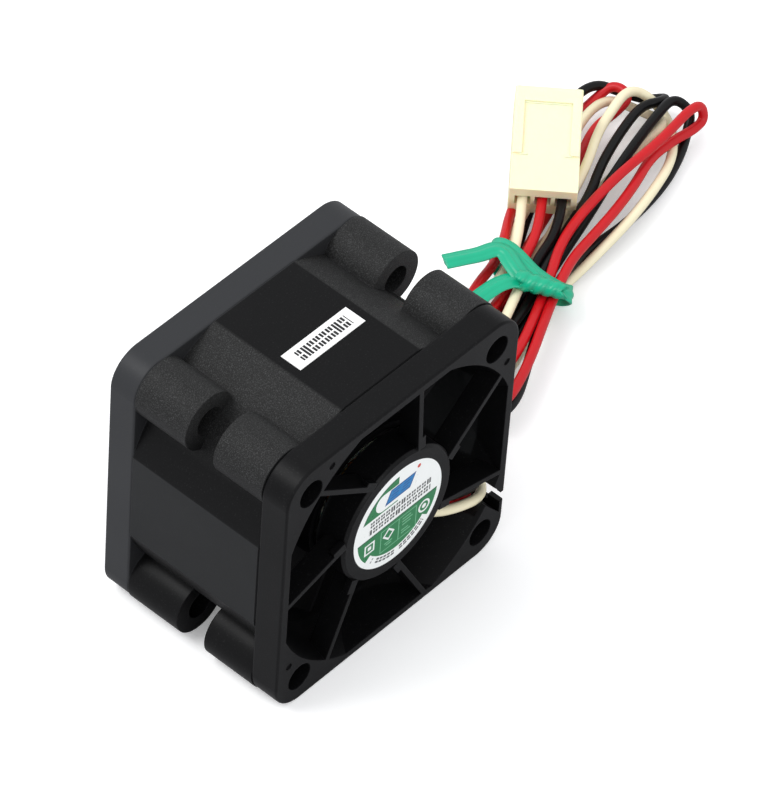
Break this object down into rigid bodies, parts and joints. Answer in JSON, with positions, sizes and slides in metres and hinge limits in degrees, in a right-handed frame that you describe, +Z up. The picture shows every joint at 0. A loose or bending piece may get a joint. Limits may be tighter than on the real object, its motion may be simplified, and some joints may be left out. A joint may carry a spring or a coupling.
{
  "type": "tube-axial cooling fan",
  "caption": "Small square cooling fan with a five-blade rotor on ball bearings, a strutted motor base and a folded three-wire lead with its connector.",
  "frame": {"origin": "centre of the fan body's footprint, on the surface it stands on", "axes": "+Z up; air leaves through the strutted face towards -Y and enters at +Y; the lead leaves on the +X side"},
  "size_m": [0.1109, 0.0433, 0.0401],
  "materials": {
    "frame_plastic": "satin black moulding with a fine spark-eroded grain",
    "rotor_plastic": "satin black moulding",
    "tube_brass": "turned",
    "bearing_steel": "ground",
    "ball_steel": "polished",
    "cage_brass": "pressed",
    "shaft_steel": "ground",
    "spring_steel": "drawn wire",
    "yoke_steel": "zinc plated",
    "magnet_rubber": "bonded ferrite",
    "core_steel": "stacked laminations",
    "insulator_plastic": "natural nylon",
    "copper_wire": "enamelled copper wire",
    "board_green": "glass-epoxy board with solder resist",
    "chip_black": "moulded package",
    "chip_tan": "ceramic",
    "solder": "tin solder",
    "label_print": "printed film",
    "sticker_paper": "plain paper",
    "wire_cream": "extruded insulation",
    "wire_black": "extruded insulation",
    "wire_red": "extruded insulation",
    "hank_mix": "folded red, black and cream wires",
    "tie_green": "flat plastic over a wire core",
    "connector_nylon": "natural nylon",
    "terminal_tin": "tin-plated bronze"
  },
  "bodies": {
    "housing": {"frame_housing": "frame_plastic", "bearing_tube": "tube_brass", "stator_core": "core_steel", "stator_insulator_front": "insulator_plastic", "stator_insulator_rear": "insulator_plastic", "coil_1": "copper_wire", "coil_2": "copper_wire", "coil_3": "copper_wire", "coil_4": "copper_wire", "circuit_board": "board_green", "winding_pins": "solder", "hall_driver_ic": "chip_black", "chip_capacitor": "chip_tan", "chip_resistor": "chip_black", "solder_joints": "solder", "hub_label": "label_print", "side_sticker": "sticker_paper", "lead_cream": "wire_cream", "lead_black": "wire_black", "lead_red": "wire_red", "tail_cream": "wire_cream", "tail_black": "wire_black", "tail_red": "wire_red", "lead_hank": "hank_mix", "twist_tie": "tie_green", "connector_housing": "connector_nylon", "terminal_black": "terminal_tin", "terminal_red": "terminal_tin", "terminal_cream": "terminal_tin", "front_bearing_outer_ring": "bearing_steel", "front_bearing_shields": "bearing_steel", "rear_bearing_outer_ring": "bearing_steel", "rear_bearing_shields": "bearing_steel"},
    "rotor": {"impeller": "rotor_plastic", "rotor_yoke": "yoke_steel", "magnet_ring": "magnet_rubber", "shaft_bush": "tube_brass", "shaft": "shaft_steel", "retaining_clip": "spring_steel", "preload_spring": "spring_steel", "front_bearing_inner_ring": "bearing_steel", "rear_bearing_inner_ring": "bearing_steel"},
    "front_ball_cage": {"front_bearing_balls": "ball_steel", "front_bearing_cage": "cage_brass"},
    "rear_ball_cage": {"rear_bearing_balls": "ball_steel", "rear_bearing_cage": "cage_brass"}
  },
  "joints": [
    {"name": "rotor_spin", "type": "hinge", "parent": "housing", "child": "rotor", "pos_m": [0, 0, 0.02], "axis": [0, 1, 0], "continuous": true},
    {"name": "front_cage_spin", "type": "hinge", "parent": "housing", "child": "front_ball_cage", "pos_m": [0, 0, 0.02], "axis": [0, 1, 0], "continuous": true},
    {"name": "rear_cage_spin", "type": "hinge", "parent": "housing", "child": "rear_ball_cage", "pos_m": [0, 0, 0.02], "axis": [0, 1, 0], "continuous": true}
  ],
  "couplings": [
    {"joint": "front_cage_spin", "follows": "rotor_spin", "ratio": 0.42667},
    {"joint": "rear_cage_spin", "follows": "rotor_spin", "ratio": 0.42667}
  ]
}
